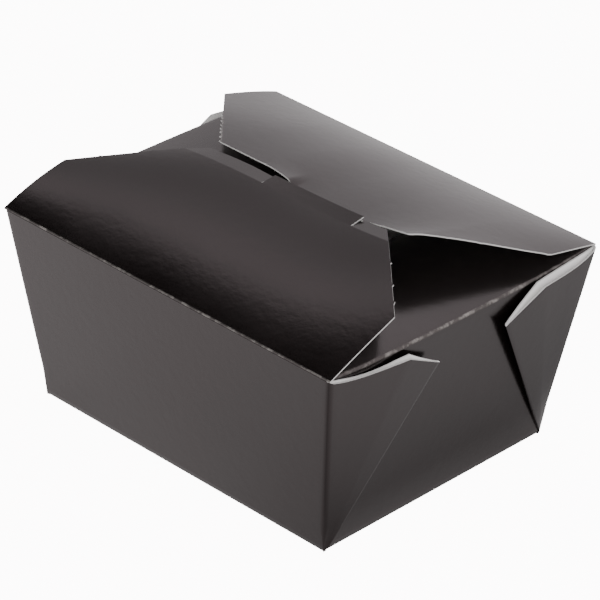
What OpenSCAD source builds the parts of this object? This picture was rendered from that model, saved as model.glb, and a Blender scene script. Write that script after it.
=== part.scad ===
// A takeaway box folded from one sheet of black coated board.
// Four flared walls stand on a flat base, and each corner is a gusset web
// folded flat onto the outside of an end wall. Two dust flaps turn inward.
// The front flap's scored shoulders go under the back flap's edge, and its
// tongue goes over it. The origin is the middle of the base, on the table.

/* [Carton] */
// Length of the top opening, corner to corner
top_length = 127; // [115:1:145]
// Width of the top opening, fold to fold
top_width = 109; // [98:1:125]
// Length of the base
base_length = 111; // [96:1:125]
// Width of the base
base_width = 90; // [80:1:105]
// Height of the top folds above the table
height = 62; // [50:1:90]
// Thickness of the board
board = 0.5; // [0.35:0.05:0.8]

/* [Corner webs] */
// How far the end wall's top sits in from the long walls' corners
web_room = 1.4; // [1.2:0.1:2.5]
// Distance of the folded tip from the end wall's corner-to-corner plane
web_standoff = 3.6; // [1.5:0.1:6]
// Turn from the wall's corner to the web's cut peak, in degrees
peak_turn = 24.6; // [15:0.5:30]
// How much shorter the crease is than the wall's corner
tip_drop = 1.2; // [0:0.1:6]

/* [Front flap] */
// Slope of the front flap at its fold, in degrees
front_fold_slope = 25; // [15:1:35]
// Slope of the front flap at its score, in degrees
front_score_slope = 7; // [0:1:12]
// Length of the front flap's straight side edges
front_side_depth = 24.5; // [15:0.5:32]
// Distance of the score short of the middle of the box
score_setback = 7.3; // [5:0.1:10]
// Depth of the tongue and shoulders past the score
lock_depth = 5.5; // [4.5:0.1:8]
// Width of the tongue
tongue_width = 34; // [20:1:44]
// Offset of the tongue from the middle of the flap
tongue_offset = 8.5; // [-12:0.5:12]
// Downward slope of the tongue, in degrees
tongue_slope = 1.7; // [0:0.1:4]
// Width of the slits beside the tongue
slit_width = 0.6; // [0.3:0.1:2]

/* [Back flap] */
// Length of the back flap's straight side edges
back_side_depth = 23; // [15:0.5:32]
// How far the back flap's free edge passes the middle of the box
back_reach = 2.5; // [2.2:0.1:3.5]
// Width of the back flap's free edge
back_edge_width = 72; // [50:1:90]
// Offset of that edge from the middle of the box
back_edge_offset = 4.9; // [-8:0.1:8]
// Change of slope from the fold to the free edge, in degrees
back_bow = 16; // [2:0.5:20]

/* [Dust flaps] */
// How far the end walls' folds lie below the long walls' folds
end_drop = 1.1; // [0:0.1:4]
// Depth of each dust flap, measured along the board
dust_depth = 44; // [25:1:50]
// Gap from each end of the dust flap's fold to the long wall
dust_side_gap = 2.5; // [2:0.1:6]
// Width that each side loses towards the free edge
dust_taper = 14; // [5:1:25]
// How much the dust flap rises inward at its fold, in degrees
dust_fold_rise = 7; // [0:1:10]
// Downward slope of the dust flap at its free edge, in degrees
dust_edge_slope = 18; // [11:1:30]

/* [Clearances] */
// Gap between a top flap's rolled root and the wall under it
hinge_gap = 0.1; // [0.05:0.05:0.3]
// Gap between a top flap's side edge and the corner of the box
flap_side_gap = 0.9; // [0.5:0.1:2]
// Gap above and below the back flap where the front flap holds it
lock_gap = 0.3; // [0.2:0.05:0.6]

/* [Hidden] */

board_black = [0.16, 0.145, 0.14];
flap_black = [0.2, 0.185, 0.18];
flap_grey = [0.3, 0.285, 0.285];

// How far each wall leans out for each millimetre of height
end_run = (top_length - base_length) / 2 / height;
long_run = (top_width - base_width) / 2 / height;
inset_run = end_run - web_room / height;
end_slant = norm([1, end_run]) * height;
long_slant = norm([1, long_run]) * height;

// The long walls stop just under the rolled roots of the top flaps
wall_top = height - board - hinge_gap;
hinge_y = top_width / 2 - board / 2;
hinge_z = height - board / 2;
flap_half = top_length / 2 - flap_side_gap;

// Angles of the flat blank around a base corner: what the walls leave is the web
end_edge_lean = atan((top_width - base_width) / 2 / end_slant);
long_edge_lean = atan((top_length - base_length) / 2 / long_slant);
web_half_angle = (90 - end_edge_lean - long_edge_lean) / 2;

arc_steps = 12;
crease_lap = 0.8 * board;
score_land = 0.6;
fold_round = 0.5;
fold_drop = 1.2;
clip_reach = 200;

// Points along a bowed panel: starts at the origin, heads along from_slope and
// turns evenly to to_slope while it covers the given run
function bow_radius(run, from_slope, to_slope) = run / (sin(from_slope) - sin(to_slope));
function bow_length(run, from_slope, to_slope) =
    bow_radius(run, from_slope, to_slope) * (from_slope - to_slope) * PI / 180;
function bow_point(run, from_slope, to_slope, along) =
    let (r = bow_radius(run, from_slope, to_slope),
         a = from_slope - along / r * 180 / PI)
    [r * (sin(from_slope) - sin(a)), r * (cos(a) - cos(from_slope))];

// Offsets a path of points sideways by d, with mitred corners
function heading(a, b) = (b - a) / norm(b - a);
function left_of(v) = [-v[1], v[0]];
function path_side(path, d) = [
    for (i = [0 : len(path) - 1])
        let (n0 = left_of(heading(path[max(i - 1, 0)], path[max(i, 1)])),
             last = len(path) - 1,
             n1 = left_of(heading(path[min(i, last - 1)], path[min(i + 1, last)])),
             m = heading([0, 0], n0 + n1))
        path[i] + m * d / (m * n0)
];

// The board's section along a path, from its point number a to number b
module board_section(path, a, b) {
    upper = path_side(path, board / 2);
    lower = path_side(path, -board / 2);
    polygon(concat([for (i = [a : b]) upper[i]], [for (i = [b : -1 : a]) lower[i]]));
}

// Stands a drawn [y, z] section up and draws it out along X, from x0 to x1
module along_x(x0, x1)
    translate([x0, 0, 0]) rotate([90, 0, 90]) linear_extrude(x1 - x0) children();

// Stands a drawn [x, z] section up and draws it out along Y, both ways
module along_y(half)
    rotate([90, 0, 0]) linear_extrude(2 * half, center = true) children();

// Everything inside the flare of the box, seen from one side
module flare_outline(base_half, run, z0, z1)
    polygon([[-base_half - run * z0, z0], [base_half + run * z0, z0],
             [base_half + run * z1, z1], [-base_half - run * z1, z1]]);

module long_wall() {
    skin = board * norm([1, long_run]);
    foot = base_width / 2;
    brim = foot + long_run * wall_top;
    intersection() {
        along_x(-clip_reach, clip_reach)
            polygon([[-foot, 0], [-foot + skin, 0], [-brim + skin, wall_top], [-brim, wall_top]]);
        along_y(clip_reach) flare_outline(base_length / 2, end_run, 0, wall_top);
    }
}

// One path up the middle of an end wall, round its fold and along its dust flap
function end_mid(z) = base_length / 2 + inset_run * z - board / 2 * norm([1, inset_run]);
end_fold = [end_mid(hinge_z - end_drop), hinge_z - end_drop];
end_up = heading([0, 0], [inset_run, 1]);
dust_in = [-cos(dust_fold_rise), sin(dust_fold_rise)];
dust_start = end_fold + fold_round * dust_in;
dust_radius = dust_depth / (dust_fold_rise + dust_edge_slope) * 180 / PI;
dust_run = dust_radius * (sin(dust_fold_rise) + sin(dust_edge_slope));
end_path = concat(
    [[end_mid(-1), -1], [end_mid(height - end_drop - fold_drop), height - end_drop - fold_drop],
     end_fold - fold_round * end_up, dust_start],
    [for (i = [1 : arc_steps])
        let (p = bow_point(dust_run, dust_fold_rise, -dust_edge_slope, dust_depth * i / arc_steps))
        dust_start + [-p[0], p[1]]]);

module end_wall()
    intersection() {
        along_y(clip_reach) board_section(end_path, 0, 2);
        along_x(0, clip_reach) flare_outline(base_width / 2, long_run, 0, height);
    }

module dust_flap() {
    root_half = top_width / 2 - dust_side_gap;
    root_x = end_fold[0] + board;
    edge_x = dust_start[0] - dust_run - board;
    intersection() {
        along_y(clip_reach) board_section(end_path, 1, len(end_path) - 1);
        linear_extrude(clip_reach)
            polygon([[root_x, -root_half], [root_x, root_half], [end_fold[0] - 2, root_half],
                     [edge_x, root_half - dust_taper], [edge_x, dust_taper - root_half],
                     [end_fold[0] - 2, -root_half]]);
    }
}

// A flat layer of a web: its side edge runs from corner to top, its crease from
// corner to tip, and its thickness is laid on the side that faces out of the box
module web_layer(corner, top, tip) {
    up = heading(corner, top);
    fold = heading(corner, tip);
    out = heading([0, 0, 0], cross(fold, up));
    across = cross(up, out);
    spread = acos(up * fold);
    edge = norm(top - corner);
    crease = norm(tip - corner);
    multmatrix([[across[0], up[0], out[0], corner[0]],
                [across[1], up[1], out[1], corner[1]],
                [across[2], up[2], out[2], corner[2]],
                [0, 0, 0, 1]])
        linear_extrude(board)
            polygon([[0, 0], [0, edge], edge * [sin(peak_turn), cos(peak_turn)],
                     crease * [sin(spread), cos(spread)]]);
}

// The web at the corner of +X and -Y: an outer layer that carries on from the
// long wall, a crease from the base corner to the tip, and an inner layer that
// comes back to the end wall's edge
module corner_web() {
    out = heading([0, 0, 0], [1, 0, -end_run]);
    up = heading([0, 0, 0], [end_run, 0, 1]);
    across = [0, 1, 0];
    root = [base_length / 2, -base_width / 2, 0];
    outer_root = root - board * [1, 0, 0];
    outer_top = outer_root + wall_top * [end_run, -long_run, 1];
    inner_top = outer_top - (web_room - board + crease_lap) * [1, 0, 0];
    turn = web_half_angle - end_edge_lean;
    reach = norm(outer_top - outer_root) - tip_drop;
    tip = root + reach * (sin(turn) * across + cos(turn) * up) + (web_standoff - board) * out;
    web_layer(outer_root, outer_top, tip);
    web_layer(outer_root - crease_lap * out, inner_top, tip - crease_lap * out);
}

module carton() color(board_black) {
    intersection() {
        along_x(-clip_reach, clip_reach) flare_outline(base_width / 2, long_run, 0, board);
        along_y(clip_reach) flare_outline(base_length / 2, end_run, 0, board);
    }
    for (side = [0, 1]) {
        mirror([0, side, 0]) long_wall();
        mirror([side, 0, 0]) {
            end_wall();
            dust_flap();
            for (end = [0, 1]) mirror([0, end, 0]) corner_web();
        }
    }
}

// The front flap's middle line, from its fold to its score
front_run = hinge_y - score_setback;
front_length = bow_length(front_run, front_fold_slope, front_score_slope);
front_hinge = [-hinge_y, hinge_z];
function front_at(along) =
    front_hinge + bow_point(front_run, front_fold_slope, front_score_slope, along);
front_panel = concat(
    [for (i = [0 : arc_steps]) front_at((front_length - score_land) * i / arc_steps)],
    [front_at(front_length)]);
score = front_at(front_length);

// The back flap's edge sits one gap under the tongue, and the shoulders one gap under it
tongue_fall = tan(tongue_slope) * (score_setback - back_reach);
back_edge = [-back_reach, score[1] - tongue_fall - board - lock_gap];
under_edge = back_edge - [0, board + lock_gap];
tongue_end = score + lock_depth * [cos(tongue_slope), -sin(tongue_slope)];
shoulder_end = score + lock_depth * heading(score, under_edge);
tongue_left = tongue_offset - tongue_width / 2;
tongue_right = tongue_offset + tongue_width / 2;

// Rolled root of a top flap, round the fold line it turns on
module flap_root(y)
    translate([-flap_half, y, hinge_z]) rotate([0, 90, 0]) cylinder(d = board, h = 2 * flap_half, $fn = 24);

module front_flap() color(flap_black) {
    tongue_path = concat(front_panel, [tongue_end]);
    shoulder_path = concat(front_panel, [shoulder_end]);
    land = arc_steps;
    side_y = front_at(front_side_depth)[0];
    edge_y = tongue_end[0] + board;
    edge_half = flap_half - (edge_y - side_y) * (front_length - front_side_depth) / (score[0] - side_y);
    flap_root(-hinge_y);
    intersection() {
        linear_extrude(clip_reach)
            polygon([[-flap_half, -hinge_y], [flap_half, -hinge_y], [flap_half, side_y],
                     [edge_half, edge_y], [-edge_half, edge_y], [-flap_half, side_y]]);
        union() {
            along_x(-flap_half, flap_half) board_section(tongue_path, 0, land);
            along_x(tongue_left, tongue_right) board_section(tongue_path, land, land + 2);
            along_x(-flap_half, tongue_left - slit_width) board_section(shoulder_path, land, land + 2);
            along_x(tongue_right + slit_width, flap_half) board_section(shoulder_path, land, land + 2);
        }
    }
}

module back_flap() color(flap_grey) {
    run = hinge_y + back_reach;
    chord = atan((back_edge[1] - hinge_z) / run);
    fold_slope = chord + back_bow / 2;
    edge_slope = chord - back_bow / 2;
    whole = bow_length(run, fold_slope, edge_slope);
    path = [for (i = [0 : arc_steps])
        let (p = bow_point(run, fold_slope, edge_slope, whole * i / arc_steps))
        [hinge_y - p[0], hinge_z + p[1]]];
    side_y = hinge_y - bow_point(run, fold_slope, edge_slope, back_side_depth)[0];
    edge_y = -back_reach;
    edge_left = back_edge_offset - back_edge_width / 2;
    edge_right = back_edge_offset + back_edge_width / 2;
    flap_root(hinge_y);
    intersection() {
        linear_extrude(clip_reach)
            polygon([[flap_half, hinge_y], [-flap_half, hinge_y], [-flap_half, side_y],
                     [edge_left, edge_y], [edge_right, edge_y], [flap_half, side_y]]);
        along_x(-flap_half, flap_half) board_section(path, 0, arc_steps);
    }
}

carton();
front_flap();
back_flap();
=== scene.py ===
# A takeaway box folded from black coated board, dressed for its photograph.
# The sections follow the box as it is folded: the board's finish, the base with
# the end walls, the long walls with their corner webs, then the two top flaps.
from math import cos, exp, pi, radians, sin, tan

import bmesh
import bpy
from mathutils import Matrix, Vector


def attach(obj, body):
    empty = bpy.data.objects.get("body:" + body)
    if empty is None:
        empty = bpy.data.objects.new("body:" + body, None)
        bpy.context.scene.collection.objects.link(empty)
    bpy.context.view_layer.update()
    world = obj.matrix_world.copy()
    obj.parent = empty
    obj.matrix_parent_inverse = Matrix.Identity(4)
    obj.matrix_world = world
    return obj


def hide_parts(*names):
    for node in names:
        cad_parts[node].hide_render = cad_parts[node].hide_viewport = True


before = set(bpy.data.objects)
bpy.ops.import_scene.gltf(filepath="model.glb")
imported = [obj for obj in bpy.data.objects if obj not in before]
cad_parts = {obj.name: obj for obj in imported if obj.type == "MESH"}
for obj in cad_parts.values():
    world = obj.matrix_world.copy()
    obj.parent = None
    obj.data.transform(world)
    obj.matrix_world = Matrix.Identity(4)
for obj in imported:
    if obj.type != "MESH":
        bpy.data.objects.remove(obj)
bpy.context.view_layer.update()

MM = 0.001

# Camera
# It looks down on the corner between the front wall and the right end wall,
# from a metre away through a long lens, as the photograph was taken.
around, above, roll = radians(42.782), radians(30.259), radians(2.541)
look_at = Vector((1.097, 0, 38.359)) * MM
distance = 1.03804
back = Vector((sin(around) * cos(above), -cos(around) * cos(above), sin(above)))
across = (-back).cross(Vector((0, 0, 1))).normalized()
upright = across.cross(-back)
side = cos(roll) * across + sin(roll) * upright
top = -sin(roll) * across + cos(roll) * upright
aim = Matrix((side, top, back)).transposed().to_4x4()
lens = bpy.data.cameras.new("camera")
lens.sensor_width = 36
lens.lens = 219.57
lens.clip_start, lens.clip_end = 0.05, 20
camera = bpy.data.objects.new("camera", lens)
camera.matrix_world = Matrix.Translation(look_at + back * distance) @ aim
bpy.context.scene.collection.objects.link(camera)
bpy.context.scene.camera = camera

# Board finish
# Solid bleached board, just under 0.5 mm thick: black satin coating on the
# printed side, white and a little fibrous on the back and along cut edges.
board = 0.4
weld = 0.00001


def fibre_flecks():
    """Fine fibre relief and slow cloudiness of the board, for every finish."""
    group = bpy.data.node_groups.new("board_fibre", "ShaderNodeTree")
    face = group.interface
    face.new_socket("Fibre scale", in_out="INPUT", socket_type="NodeSocketFloat")
    face.new_socket("Cloud scale", in_out="INPUT", socket_type="NodeSocketFloat")
    face.new_socket("Fibre", in_out="OUTPUT", socket_type="NodeSocketFloat")
    face.new_socket("Cloud", in_out="OUTPUT", socket_type="NodeSocketFloat")
    nodes, links = group.nodes, group.links
    given = nodes.new("NodeGroupInput")
    put_out = nodes.new("NodeGroupOutput")
    place = nodes.new("ShaderNodeTexCoord")
    for output, scale, detail, rough in (("Fibre", "Fibre scale", 4, 0.6), ("Cloud", "Cloud scale", 3, 0.5)):
        noise = nodes.new("ShaderNodeTexNoise")
        noise.inputs["Detail"].default_value = detail
        noise.inputs["Roughness"].default_value = rough
        links.new(place.outputs["Object"], noise.inputs["Vector"])
        links.new(given.outputs[scale], noise.inputs["Scale"])
        links.new(noise.outputs["Fac"], put_out.inputs[output])
    return group


board_fibre = fibre_flecks()


def flecks(nodes, fibre_scale, cloud_scale=0):
    """One use of the fibre group, at its own scales."""
    node = nodes.new("ShaderNodeGroup")
    node.node_tree = board_fibre
    node.inputs["Fibre scale"].default_value = fibre_scale
    node.inputs["Cloud scale"].default_value = cloud_scale
    return node


def ranged(nodes, links, value, low, high, to_low=0.0, to_high=1.0):
    """Carries a value between low and high onto another range."""
    node = nodes.new("ShaderNodeMapRange")
    for name, number in (("From Min", low), ("From Max", high), ("To Min", to_low), ("To Max", to_high)):
        node.inputs[name].default_value = number
    links.new(value, node.inputs["Value"])
    return node


def product(nodes, links, one, other):
    """Multiplies two values."""
    node = nodes.new("ShaderNodeMath")
    node.operation = "MULTIPLY"
    links.new(one, node.inputs[0])
    links.new(other, node.inputs[1])
    return node.outputs["Value"]


def relief(nodes, links, height, strength, depth, under=None):
    """Fine bumps of a depth in metres, over an earlier relief where there is one."""
    node = nodes.new("ShaderNodeBump")
    node.inputs["Strength"].default_value = strength
    node.inputs["Distance"].default_value = depth
    links.new(height, node.inputs["Height"])
    if under is not None:
        links.new(under, node.inputs["Normal"])
    return node.outputs["Normal"]


def finish(name, dark, light, rough_low, rough_high, bump, cloud_scale=38, fibre_scale=900, worn=None,
           sheen=(1, 1, 1)):
    """A board finish: cloudy colour from dark to light, satin between two roughnesses.
    A worn finish shows another colour in broken patches where the sheet is rubbed."""
    made = bpy.data.materials.new(name)
    made.use_nodes = True
    nodes, links = made.node_tree.nodes, made.node_tree.links
    skin = nodes["Principled BSDF"]
    skin.inputs["Specular Tint"].default_value = (*sheen, 1)
    grain = flecks(nodes, fibre_scale, cloud_scale)
    tint = nodes.new("ShaderNodeMix")
    tint.data_type = "RGBA"
    tint.inputs["A"].default_value = (*dark, 1)
    tint.inputs["B"].default_value = (*light, 1)
    links.new(grain.outputs["Cloud"], tint.inputs["Factor"])
    colour, peel = tint.outputs["Result"], None
    if worn:
        spots = flecks(nodes, 330)
        rub = nodes.new("ShaderNodeAttribute")
        rub.attribute_name = "rubbed"
        patchy = ranged(nodes, links, spots.outputs["Fibre"], 0.47, 0.66, 0.2)
        wear = nodes.new("ShaderNodeMix")
        wear.data_type = "RGBA"
        links.new(product(nodes, links, rub.outputs["Fac"], patchy.outputs["Result"]), wear.inputs["Factor"])
        links.new(colour, wear.inputs["A"])
        wear.inputs["B"].default_value = (*worn, 1)
        colour = wear.outputs["Result"]
        peel = relief(nodes, links, spots.outputs["Fibre"], 1.0, 0.00004)
    links.new(colour, skin.inputs["Base Color"])
    satin = ranged(nodes, links, grain.outputs["Cloud"], 0.3, 0.7, rough_low, rough_high)
    links.new(satin.outputs["Result"], skin.inputs["Roughness"])
    links.new(relief(nodes, links, grain.outputs["Fibre"], bump, 0.00002, peel), skin.inputs["Normal"])
    return made


coated_black = finish("coated_black", (0.0024, 0.0017, 0.0016), (0.0042, 0.0031, 0.0029), 0.18, 0.22, 0.25,
                      worn=(0.27, 0.255, 0.24), sheen=(1.0, 0.84, 0.85))
cut_edge = finish("cut_edge", (0.42, 0.41, 0.40), (0.58, 0.57, 0.56), 0.75, 0.9, 0.6, 700, 1500)
white_back = finish("white_back", (0.78, 0.77, 0.755), (0.84, 0.83, 0.815), 0.6, 0.72, 0.4, 45, 1100)
COATED, CUT, BACK = range(3)


def continued(middle):
    """Where the folded board runs on, though two of these sheets only meet: along
    the foot and under the lids' folds. There a rim is as black as the printed side."""
    x, y, z = (abs(place) / MM for place in middle)
    at_foot = z < 3.5
    at_lid_fold = y > 53.0 and 59.0 < z < 63.0 and x < 62.2
    at_base_corner = at_foot and x > 54.5 and y > 43.5
    return at_foot or at_lid_fold, at_base_corner


def make_board(name, sheet, body, node, tapered=False):
    """Gives a bent sheet the board's thickness behind its printed side, with a
    raw cut edge round the rim and the white back inside, and hangs it on its body."""
    bmesh.ops.remove_doubles(sheet, verts=sheet.verts, dist=weld)
    mesh = bpy.data.meshes.new(name)
    sheet.to_mesh(mesh)
    sheet.free()
    piece = bpy.data.objects.new(name, mesh)
    bpy.context.scene.collection.objects.link(piece)
    for layer in (coated_black, cut_edge, white_back):
        mesh.materials.append(layer)
    thick = piece.modifiers.new("thickness", "SOLIDIFY")
    thick.thickness = board * MM
    thick.offset = -1
    thick.use_even_offset = True
    thick.use_quality_normals = True
    if tapered:
        thick.thickness_clamp = 1.5
        thick.use_thickness_angle_clamp = True
    thick.material_offset_rim = CUT
    thick.material_offset = BACK
    solid = bpy.data.meshes.new_from_object(piece.evaluated_get(bpy.context.evaluated_depsgraph_get()))
    piece.modifiers.clear()
    solid.name = name + "_board"
    piece.data = solid
    skin = bmesh.new()
    skin.from_mesh(solid)
    for face in skin.faces:
        face.smooth = True
        rim_runs_on, all_run_on = continued(face.calc_center_median())
        if all_run_on or (rim_runs_on and face.material_index == CUT):
            face.material_index = COATED
    for edge in skin.edges:
        if len(edge.link_faces) == 2:
            one, other = edge.link_faces
            edge.smooth = one.material_index == other.material_index and edge.calc_face_angle(0) < radians(40)
    skin.to_mesh(solid)
    skin.free()
    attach(piece, body)
    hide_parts(node)
    return piece


def bend(grid, shape, turned=False):
    """Moves each point of a flat grid, from -1 to 1 both ways, to where the folded board has it."""
    rub = grid.verts.layers.float.new("rubbed")
    for v in grid.verts:
        place, worn = shape(v.co.x, v.co.y)
        v.co = Vector(place) * MM
        v[rub] = worn
    if turned:
        bmesh.ops.reverse_faces(grid, faces=grid.faces)


def blank(columns, rows):
    """A flat grid of board, two units across both ways."""
    grid = bmesh.new()
    bmesh.ops.create_grid(grid, x_segments=columns, y_segments=rows, size=1)
    return grid


# Base, end walls and dust flaps
# One run of the blank: the flat base, an end wall up each side, and the dust
# flap that each end wall carries on into, folded over and sagging inwards.
base_x, base_y = 55.5, 45.0
top_x, top_y = 63.5, 54.5
tall = 62.0
end_in = 1.4
end_lean = (top_x - end_in - base_x) / tall
long_lean = (top_y - base_y) / tall
fold_half, fold_inset = 54.0, 0.45
crest_height, crest_ease = 61.7, 22.0
right_sag, left_sag = 0.8, 0.2
end_bulge = 1.4
foot_round, foot_inset, foot_spread = 0.8, 0.85, 0.44
crest_round = 0.9
dust_long, dust_half, dust_taper = 44.0, 52.0, 14.0
dust_start_slope, dust_end_slope, dust_ease = radians(-6.4), radians(19), 1.4
dust_lean = radians(1)
# Shares of the run at which the base, the foot's turn, the wall and the fold end
base_to, foot_to, wall_to, fold_to = 0.22, 0.26, 0.60, 0.66


def crest(y, sag):
    """Height of the end wall's fold: full at its corners, lower between them."""
    near = min(1.0, max(0.0, (fold_half - abs(y)) / crest_ease))
    return crest_height - sag * (1 - (1 - near) ** 2.2)


def bulge(y, z):
    """How far the middle of the end wall stands out, most of all at its fold."""
    return end_bulge * max(0.0, z / tall) ** 1.6 * max(0.0, 1 - (abs(y) / fold_half) ** 2.4)


def edge_inset(z):
    """How far the end wall's side edges stay inside the rounded corner folds."""
    return 0.4 + 0.5 * exp(-((z - 9) / 7) ** 2)


def round_corner(a, corner, b, t):
    """A fold: a smooth turn from a to b that heads for the corner between them."""
    a, corner, b = Vector(a), Vector(corner), Vector(b)
    return (1 - t) ** 2 * a + 2 * t * (1 - t) * corner + t * t * b


def sagging(start, share):
    """How far a dust flap has come in and sunk, at a share of its length."""
    come = sunk = 0.0
    for step in range(20):
        slope = start + (dust_end_slope - start) * ((step + 0.5) / 20 * share) ** dust_ease
        come += share * dust_long / 20 * cos(slope)
        sunk += share * dust_long / 20 * sin(slope)
    return come, sunk


def end_run(u, v):
    """One end: u runs from the middle of the base to the dust flap's edge, v across."""
    side = 1 if u >= 0 else -1
    run = abs(u)
    top = crest(v * fold_half, right_sag if u > 0 else left_sag)
    fold_x = base_x + end_lean * top
    past_fold = top - crest_round * tan(dust_start_slope)
    rub = 0.0
    if run < base_to:
        half = base_y - foot_inset
        x, z = run / base_to * (base_x - foot_round), 0
    elif run < foot_to:
        share = (run - base_to) / (foot_to - base_to)
        half = base_y - foot_inset + foot_spread * share
        wall_foot = (base_x + end_lean * foot_round, foot_round)
        x, z = round_corner((base_x - foot_round, 0), (base_x, 0), wall_foot, share)
    elif run < wall_to:
        share = (run - foot_to) / (wall_to - foot_to)
        z = foot_round + share * (top - crest_round - foot_round)
        half = base_y + long_lean * z - edge_inset(z)
        x = base_x + end_lean * z + bulge(v * half, z)
    elif run < fold_to:
        share = (run - wall_to) / (fold_to - wall_to)
        half = top_y - fold_inset - share * (top_y - fold_inset - dust_half)
        under = top - crest_round
        out = bulge(v * half, top)
        x, z = round_corner((base_x + end_lean * under + bulge(v * half, under), under), (fold_x + out, top),
                            (fold_x + out - crest_round, past_fold), share)
        # Rubbed most along the fold's crown and near its middle
        rub = max(0.0, 1 - abs(share - 0.5) * 2) ** 0.4 * (1 - 0.75 * abs(v + 0.1) ** 1.5)
    else:
        share = (run - fold_to) / (1 - fold_to)
        half = dust_half - dust_taper * share
        come, sunk = sagging(dust_start_slope - dust_lean * (1 - v), share)
        x = fold_x + bulge(v * half, top) * (1 - share) ** 2 - crest_round - come
        z = past_fold - sunk
    return (side * x, v * half, z), rub


ends = blank(200, 44)
bend(ends, end_run, turned=True)
make_board("base_ends_and_dust_flaps", ends, "box", "carton")

# Long walls and corner webs
# Each long wall carries on round its two upright corners as a gusset web: the
# outer layer lies on the end wall, doubles back at its crease, and its white
# back shows in the open pocket between the two layers.
front_outer = ((63.5, -54.3, 61.4), (63.48, -52.3, 60.3), (64.3, -43.7, 58.9), (65.2, -34.5, 58.5),
               (65.9, -25.6, 58.15), (65.6, -19.7, 55.1), (65.1, -12.8, 51.7))
front_inner = ((62.2, -54.0, 61.3), (62.4, -49.2, 60.1), (62.5, -43.2, 58.6), (63.1, -35.7, 58.1),
               (63.8, -29.6, 58.75), (64.3, -25.0, 58.9), (64.35, -20.4, 56.0), (64.3, -13.4, 52.2))
back_outer = ((63.5, 54.3, 61.4), (63.6, 53.4, 60.9), (63.9, 48.3, 58.9), (64.6, 39.2, 58.4),
              (65.5, 30.0, 58.7), (65.5, 24.6, 56.6), (65.25, 18.3, 53.8), (65.05, 14.6, 52.0))
back_inner = ((62.2, 54.0, 61.3), (62.5, 49.0, 61.0), (62.7, 44.7, 60.9), (63.3, 35.0, 60.7),
              (63.9, 28.0, 60.5), (64.1, 21.4, 56.9), (64.25, 17.5, 54.3), (64.3, 15.1, 52.6))
brim = 61.45
wall_bow = 0.35
corner_soft = 1.7
# The outer layer stands proud of the cone below its cut edge, the inner one behind it
proud, apart = 0.65, 1.1
# How far the inner layer ends short of the corner, more below its edge, and inwards
inner_short, inner_slack, inner_push = 0.6, 1.1, 0.25
crease_round = 0.55
left_back_swell = 0.018
# Shares of the run at which the wall, the corner fold, the outer layer and the crease
# end, and the share of the height that the foot's turn takes
flat_to, corner_to, outer_to, crease_to = 0.40, 0.48, 0.72, 0.78
foot_share = 0.04


def along(points, share):
    """A point at a share of the way along a row of points, by length."""
    points = [Vector(p) for p in points]
    steps = [(b - a).length for a, b in zip(points, points[1:])]
    left = share * sum(steps)
    for a, step in zip(range(len(steps)), steps):
        if left <= step or a == len(steps) - 1:
            return points[a].lerp(points[a + 1], left / step)
        left -= step


def web_edge(points, peak, share):
    """A point on a web's cut edge: its peak is half way along, its tip at the end."""
    if share < 0.5:
        return along(points[:peak + 1], share * 2)
    return along(points[peak:], share * 2 - 1)


def smoothed(points, peak):
    """The web's cut edge with the bend eased between its points but kept sharp at its peak."""
    eased = [Vector(p) for p in points]
    for turn in range(3):
        finer = [eased[0]]
        for a, b in zip(eased, eased[1:]):
            middle = (a + b) / 2
            finer += [middle, b]
        fixed = {0, 2 * peak, len(finer) - 1}
        eased = [p if i in fixed else (finer[i - 1] + 2 * p + finer[i + 1]) / 4 for i, p in enumerate(finer)]
        peak *= 2
    return eased, peak


def doubled_back(out_end, in_end, beyond, share):
    """The crease: a narrow loop from the outer layer's end round to the inner layer's."""
    return ((1 - share) ** 3 * out_end + 3 * share * (1 - share) ** 2 * (out_end + beyond)
            + 3 * share ** 2 * (1 - share) * (in_end + beyond) + share ** 3 * in_end)


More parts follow.
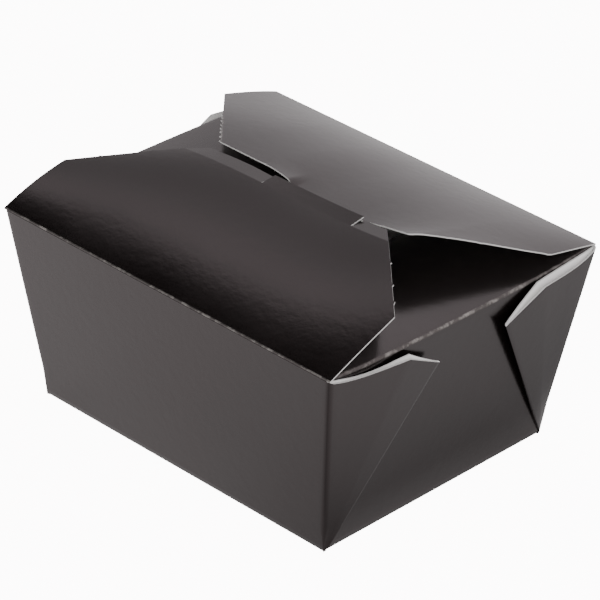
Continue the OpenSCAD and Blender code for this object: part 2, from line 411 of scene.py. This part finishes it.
def long_side(front, outer, inner):
    """The shape of one long wall with both of its webs: u runs round the sheet, v up it.
    Each web is a part of a cone with its point at the base corner."""
    hand = -1 if front else 1
    (outer, outer_peak), (inner, inner_peak) = outer, inner
    root = Vector((base_x, hand * base_y, 0))
    to_top = Vector((top_x - base_x, hand * (top_y - base_y), tall))
    outer_long = 2 * sum((b - a).length for a, b in zip(outer[:outer_peak], outer[1:outer_peak + 1]))

    def shape(u, v):
        side = 1 if u >= 0 else -1
        run = abs(u)
        rise = (v + 1) / 2
        if rise < foot_share:
            z = foot_round * rise / foot_share
        else:
            z = foot_round + (brim - foot_round) * (rise - foot_share) / (1 - foot_share)
        t = z / brim
        corner = root + to_top * (z / tall)
        off = (1 - t) * min(1.0, 30 * t)
        swell = left_back_swell if side < 0 and not front else 0
        reach = 1 + swell * sin(pi * min(1.0, max(0.0, (run - corner_to) / (outer_to - corner_to))))
        webbed = outer_long * t
        soft = min(corner_soft, 0.2 * webbed)
        begin = soft / webbed if webbed > 0 else 0.12
        before = corner - Vector((soft, 0, 0))
        after = root + (web_edge(outer, outer_peak, begin) - root) * t
        if run < flat_to:
            place = Vector((before.x * run / flat_to, corner.y, z))
            place.y += hand * wall_bow * sin(pi * min(1, z / tall)) * cos(pi / 2 * run / flat_to)
        elif run < corner_to:
            place = round_corner(before, corner, after, (run - flat_to) / (corner_to - flat_to))
        elif run < outer_to:
            share = (run - corner_to) / (outer_to - corner_to)
            far = begin + (0.5 - begin) * share * 2 if share < 0.5 else share
            place = root + (web_edge(outer, outer_peak, far) - root) * t * reach
            place.x += proud * off * share
            place.z *= 1 + 1.6 * (reach - 1)
        elif run < crease_to:
            share = (run - outer_to) / (crease_to - outer_to)
            out_end = root + (outer[-1] - root) * t + Vector((proud * off, 0, 0))
            in_end = root + (inner[-1] - root) * t + Vector(((proud - apart) * off, 0, 0))
            beyond = Vector((0, -hand * crease_round * min(1.0, 4 * t), 0))
            place = doubled_back(out_end, in_end, beyond, share)
        else:
            share = (run - crease_to) / (1 - crease_to)
            inner_reach = reach if share < 0.5 else 1
            place = root + (web_edge(inner, inner_peak, 1 - share) - root) * t * inner_reach
            place.y -= hand * (inner_short + inner_slack * off) * share
            place.x += (proud - apart - inner_push * share) * off
        if rise < foot_share and run < flat_to:
            wall_foot = (base_y + long_lean * foot_round, foot_round)
            foot = round_corner((base_y - foot_inset, 0), (base_y, 0), wall_foot, rise / foot_share)
            place = Vector((place.x, hand * foot.x, foot.y))
        return (side * place.x, place.y, place.z), 0.0

    return shape


for name, front, outer, inner, peaks in (("front_wall_and_webs", True, front_outer, front_inner, (4, 5)),
                                         ("back_wall_and_webs", False, back_outer, back_inner, (4, 4))):
    sheet = blank(200, 50)
    # The lowest rows of the webs run to nothing at the base corner and are left out
    middles = [(face, face.calc_center_median()) for face in sheet.faces]
    apex =[face for face, middle in middles if abs(middle.x) > 0.5 and middle.y < -0.92]
    bmesh.ops.delete(sheet, geom=apex, context="FACES")
    bend(sheet, long_side(front, smoothed(outer, peaks[0]), smoothed(inner, peaks[1])), turned=not front)
    make_board(name, sheet, "box", "carton", tapered=True)

# Front flap
# The front wall's own lid flap: folded over at the top of the wall, bowed up to
# its score, with a tongue that goes over the back flap between two short slits,
# and scored shoulders that go under it. The sheet is a little twisted.
fold_y, fold_z = 54.25, 61.75
root_round = 0.25
root_tuck = -0.4
front_half = 63.4
front_first, front_last = radians(24.5), radians(6.5)
score_y = -7.3
front_reach = fold_y + score_y
bow = front_reach / (sin(front_first) - sin(front_last))
front_length = bow * (front_first - front_last)
lock_long = 5.3
slit_left, slit_right, slit_half = -8.5, 25.5, 0.3
tongue_rise, tongue_twist = radians(7.5), 0.07
left_dip, slit_dip, right_dip = 0.2, 4, 3.2
twist = 9.2e-9
front_rub_wide = 0.35


def front_flap_shape(x, s):
    """Where a point of the front flap's flat blank lies: x across, s up from its fold."""
    if s < 0:
        turn = radians(90) + front_first - s / root_round
        return (x, -fold_y + root_round * cos(turn), fold_z + root_round * sin(turn))
    slope = front_first - min(s, front_length) / bow
    y = -fold_y + bow * (sin(front_first) - sin(slope)) - root_round * sin(slope)
    z = fold_z + bow * (cos(slope) - cos(front_first)) + root_round * cos(slope)
    past = s - front_length
    if past > 0:
        if slit_left - 0.05 < x < slit_right + 0.05:
            y += past * cos(tongue_rise)
            z += past * sin(tongue_rise)
            z += tongue_twist * past * ((x - slit_left) / (slit_right - slit_left) - 0.5)
        else:
            near_slit = max(0.0, 1 - abs(x - slit_left) / 9)
            dip = radians(left_dip + slit_dip * near_slit if x < slit_left else right_dip)
            y += past * cos(dip)
            z -= past * sin(dip)
    z += twist * min(s, front_length + 6) ** 2 * x ** 3
    return (x, y, z)


def cut_across(sheet, point, away, drop=False):
    """Lays a row of points on a straight line across a flat blank, and may drop the away side."""
    bmesh.ops.bisect_plane(sheet, geom=sheet.verts[:] + sheet.edges[:] + sheet.faces[:], dist=weld,
                           plane_co=point, plane_no=away, clear_outer=drop)


def flap_blank(half, length):
    """A flat rectangular blank in mm, half to each side, from under its fold to its length."""
    sheet = blank(110, 60)
    for v in sheet.verts:
        v.co = Vector((v.co.x * half, root_tuck + (v.co.y + 1) / 2 * (length - root_tuck), 0))
    return sheet


def nick(sheet, start, end, shares, stands=0.4):
    """Leaves small stubs on a cut edge where the die's bridges were torn."""
    edge = Vector((*end, 0)) - Vector((*start, 0))
    outward = edge.cross(Vector((0, 0, 1))).normalized()
    if outward.x * start[0] < 0:
        outward.negate()
    rim = [v for v in sheet.verts if v.is_boundary]
    for share in shares:
        place = Vector((*start, 0)) + edge * share
        nearest = min(rim, key=lambda v: (v.co - place).length)
        nearest.co += outward * stands


def form(sheet, shape, worn):
    """Bends a flat flap blank, in mm, and notes how far each point is rubbed."""
    rub = sheet.verts.layers.float.new("rubbed")
    for v in sheet.verts:
        v[rub] = worn(v.co.x, v.co.y)
        v.co = Vector(shape(v.co.x, v.co.y)) * MM


def front_rub(x, s):
    """Rubbed right at the fold."""
    return min(0.7, max(0.0, (front_rub_wide - s) / 0.15))


sheet = flap_blank(front_half, front_length + lock_long)
# Close rows of points at the fold and at the score, then at both sides of each slit
for at in (0, 0.25, front_rub_wide, front_length - 0.3, front_length, front_length + 0.3):
    cut_across(sheet, (0, at, 0), (0, 1, 0))
for at in (slit_left - slit_half, slit_left, slit_right, slit_right + slit_half):
    cut_across(sheet, (at, 0, 0), (1, 0, 0))
front_corners = ((-1, 24.5, 39.4, (0.25, 0.7)), (1, 25.5, 39.6, (0.3, 0.62, 0.82)))
for hand, side_depth, score_half, stubs in front_corners:
    lean = (front_half - score_half) / (front_length - side_depth)
    cut_across(sheet, (hand * front_half, side_depth, 0), (hand, lean, 0), drop=True)
middles = [(face, face.calc_center_median()) for face in sheet.faces]
slits = [face for face, middle in middles if middle.y > front_length
         and (slit_left - slit_half < middle.x < slit_left or slit_right < middle.x < slit_right + slit_half)]
bmesh.ops.delete(sheet, geom=slits, context="FACES")
for hand, side_depth, score_half, stubs in front_corners:
    nick(sheet, (hand * score_half, front_length), (hand * front_half, side_depth), stubs)
form(sheet, front_flap_shape, front_rub)
make_board("front_flap_board", sheet, "front_lid", "front_flap")

# Back flap
# The back wall's lid flap: one plain panel whose middle is held down under the
# tongue, so that its two free corners spring up a little.
back_half, back_length = 62.6, 58.2
back_first, back_last, back_ease = radians(23), radians(6), 1.5
left_depth, left_edge = 24.0, -31.3
right_depth, right_edge = 21.0, 41.2
left_lift, held_down, right_lift = 0.8, 0.45, 1.55
left_spring_from, left_spring_over = 6, 20
right_spring_from, right_spring_over = 20, 21
corner_shift, corner_back, corner_aside = 1.2, 1.5, 1.4
tuck_from, tuck_rise, tuck_fall = 49, 0.6, 0.5
right_droop, right_droop_from = 3.3, 22
left_droop, left_droop_from = 1.4, 30
torn_wide, torn_start, torn_ease = 0.5, 40, 3
back_rub_wide = 0.4


def back_slope(share):
    """The back flap's slope at a share of its length."""
    return back_last + (back_first - back_last) * max(0.0, 1 - share) ** back_ease


def back_run(s):
    """How far the back flap has come in and risen after s millimetres of its bow."""
    y = z = 0.0
    for step in range(24):
        slope = back_slope((step + 0.5) / 24 * s / back_length)
        y += s / 24 * cos(slope)
        z += s / 24 * sin(slope)
    return y, z


def tuck(x):
    """The free edge beside the tongue: it rises to the tongue's side and dips under it."""
    if x < -4:
        return tuck_rise * max(0.0, (x + 14) / 10)
    if x < -1.2:
        return tuck_rise - (tuck_rise + tuck_fall) * (x + 4) / 2.8
    return -tuck_fall * max(0.0, (6 - x) / 7.2)


def back_flap_shape(x, s):
    """Where a point of the back flap's flat blank lies: x across, s up from its fold."""
    if s < 0:
        turn = radians(90) - back_first + s / root_round
        return (x, fold_y + root_round * cos(turn), fold_z + root_round * sin(turn))
    out = s / back_length
    slope = back_slope(out)
    come, risen = back_run(s)
    y = fold_y - come + root_round * sin(slope)
    z = fold_z + risen + root_round * cos(slope)
    left = min(1.0, max(0.0, (left_spring_from - x) / left_spring_over))
    left = left * left * (3 - 2 * left)
    right = min(1.15, (max(0.0, x - right_spring_from) / right_spring_over) ** 1.35)
    z += (left_lift * left - held_down * (1 - left)) * out ** 1.5 + right_lift * right * out ** 2
    y += corner_shift * min(1.0, left + 2 * right) * out + corner_back * (left + right * out) * out
    z += tuck(x) * max(0.0, (s - tuck_from) / (back_length - tuck_from)) ** 2
    to_right = max(0.0, (x - right_droop_from) / (back_half - right_droop_from))
    to_left = max(0.0, (-x - left_droop_from) / (back_half - left_droop_from))
    z -= (right_droop * to_right ** 1.7 + left_droop * to_left ** 1.5) * sin(pi * out)
    return (x - corner_aside * (left + right * out) * out, y, z)


sheet = flap_blank(back_half, back_length)
cut_across(sheet, (0, 0, 0), (0, 1, 0))
# Close rows of points where the free edge dips under the tongue
for step in range(9):
    cut_across(sheet, (-5.1 + step * 0.45, 0, 0), (1, 0, 0))
for hand, depth, edge in ((1, right_depth, right_edge), (-1, left_depth, left_edge)):
    side_cut = Vector((hand * back_half, depth, 0))
    outward = Vector((hand, (back_half - abs(edge)) / (back_length - depth), 0)).normalized()
    cut_across(sheet, side_cut, outward, drop=True)
torn_from = side_cut - outward * torn_wide
cut_across(sheet, torn_from, outward)
right_stubs = (0.02, 0.26, 0.5, 0.98)
left_stubs = (0.02, 0.1, 0.17, 0.24, 0.31, 0.38, 0.45, 0.5)
nick(sheet, (right_edge, back_length), (back_half, right_depth), right_stubs, 0.3)
nick(sheet, (left_edge, back_length), (-back_half, left_depth), left_stubs, 0.5)


def back_rub(x, s):
    """Rubbed at the fold, and torn white along the left cut edge where it nears the free edge."""
    torn = max(0.0, (Vector((x, s, 0)) - torn_from).dot(outward) / torn_wide) if x < 0 else 0.0
    torn *= min(1.0, max(0.0, (s - torn_start) / torn_ease))
    return max(0.5 * max(0.0, 1 - abs(s) / back_rub_wide), torn)


form(sheet, back_flap_shape, back_rub)
bmesh.ops.reverse_faces(sheet, faces=sheet.faces)
make_board("back_flap_board", sheet, "back_lid", "back_flap")


# Floor and light
# A white table, plain white to the camera, that glows to light the box from below, with the box's own shadow
# painted into that glow, under a soft white studio. A large panel hangs over the back half of the set, and
# the ceiling in front of it is left dark.
def ramp(nodes, links, value, stops):
    """A brightness for each value from 0 to 1, by its stops."""
    node = nodes.new("ShaderNodeValToRGB")
    elements = node.color_ramp.elements
    for place, bright in stops:
        elements.new(place).color = (bright, bright, bright, 1)
    elements.remove(elements[0])
    elements.remove(elements[-1])
    links.new(value, node.inputs["Fac"])
    return node.outputs["Color"]


def unless_seen(nodes, links, given, seen):
    """The strength that lights the box, and a plain white strength for what the camera sees."""
    eye = nodes.new("ShaderNodeLightPath")
    chosen = nodes.new("ShaderNodeMix")
    links.new(eye.outputs["Is Camera Ray"], chosen.inputs["Factor"])
    links.new(given, chosen.inputs["A"])
    chosen.inputs["B"].default_value = seen
    return chosen.outputs["Result"]


floor = bmesh.new()
bmesh.ops.create_grid(floor, x_segments=1, y_segments=1, size=6)
floor_mesh = bpy.data.meshes.new("floor")
floor.to_mesh(floor_mesh)
floor.free()
table = bpy.data.objects.new("floor", floor_mesh)
table.location.z = -0.0001
bpy.context.scene.collection.objects.link(table)
paper = bpy.data.materials.new("white_table")
paper.use_nodes = True
nodes, links = paper.node_tree.nodes, paper.node_tree.links
white = nodes["Principled BSDF"]
white.inputs["Base Color"].default_value = (0.3, 0.3, 0.3, 1)
white.inputs["Roughness"].default_value = 0.9
white.inputs["Emission Color"].default_value = (1, 0.968, 0.968, 1)
spot = nodes.new("ShaderNodeTexCoord")
ways = nodes.new("ShaderNodeSeparateXYZ")
links.new(spot.outputs["Object"], ways.inputs["Vector"])
# The table glows to light the walls from below, with the box's shadow painted into that glow: least at the
# right end wall's foot, and less behind the box
sideways =ranged(nodes, links, ways.outputs["X"], -0.15, 0.15)
floor_glow_painted_shadow = ramp(nodes, links, sideways.outputs["Result"],
            ((0.10, 1.1), (0.43, 0.90), (0.54, 0.80), (0.68, 0.55), (0.715, 0.22), (0.75, 0.38),
             (0.81, 0.59), (0.87, 0.76)))
# Painted shade: the glow is dimmed behind the box, where the box would shade the table
painted_shade_behind = ranged(nodes, links, ways.outputs["Y"], -0.02, 0.08, 1.0, 0.75)
floor_glow_with_painted_shade = product(nodes, links, floor_glow_painted_shadow, painted_shade_behind.outputs["Result"])
links.new(unless_seen(nodes, links, floor_glow_with_painted_shade, 12.0), white.inputs["Emission Strength"])
floor_mesh.materials.append(paper)

studio = bpy.data.worlds.new("studio")
studio.use_nodes = True
bpy.context.scene.world = studio
nodes, links = studio.node_tree.nodes, studio.node_tree.links
sky = nodes["Background"]
sky.inputs["Color"].default_value = (1, 0.958, 0.975, 1)
direction = nodes.new("ShaderNodeTexCoord")
ways = nodes.new("ShaderNodeSeparateXYZ")
links.new(direction.outputs["Generated"], ways.inputs["Vector"])
# The panel's brightness goes by how far back a direction points, less a part of its
# height. It is dimmer at the far left, and a low band round the set lights the walls.
ahead =nodes.new("ShaderNodeMath")
ahead.operation = "MULTIPLY_ADD"
ahead.inputs[1].default_value = -0.17
links.new(ways.outputs["Z"], ahead.inputs[0])
links.new(ways.outputs["Y"], ahead.inputs[2])
spread = ranged(nodes, links, ahead.outputs["Value"], -0.1, 1.0)
panel = ramp(nodes, links, spread.outputs["Result"],
             ((0.07, 0.02), (0.145, 1.75), (0.23, 1.4), (0.34, 0.9), (0.45, 0.78), (0.585, 1.35),
              (0.69, 0.98), (0.82, 1.1)))
sideways = ranged(nodes, links, ways.outputs["X"], -0.66, -0.52, 0.8, 1.15)
low_front = ranged(nodes, links, ways.outputs["Z"], 0.05, 0.40, 1.05, 0.0)
low_front.interpolation_type = "SMOOTHSTEP"
brightest = nodes.new("ShaderNodeMath")
brightest.operation = "MAXIMUM"
links.new(product(nodes, links, panel, sideways.outputs["Result"]), brightest.inputs[0])
links.new(low_front.outputs["Result"], brightest.inputs[1])
links.new(unless_seen(nodes, links, brightest.outputs["Value"], 12.5), sky.inputs["Strength"])

fill = bpy.data.lights.new("fill", "AREA")
fill.energy = 22
fill.size = 0.8
fill_lamp = bpy.data.objects.new("fill", fill)
fill_lamp.location = (0.9, -0.95, 0.85)
fill_lamp.rotation_euler = (fill_lamp.location - look_at).to_track_quat("Z", "Y").to_euler()
bpy.context.scene.collection.objects.link(fill_lamp)

bpy.context.view_layer.update()
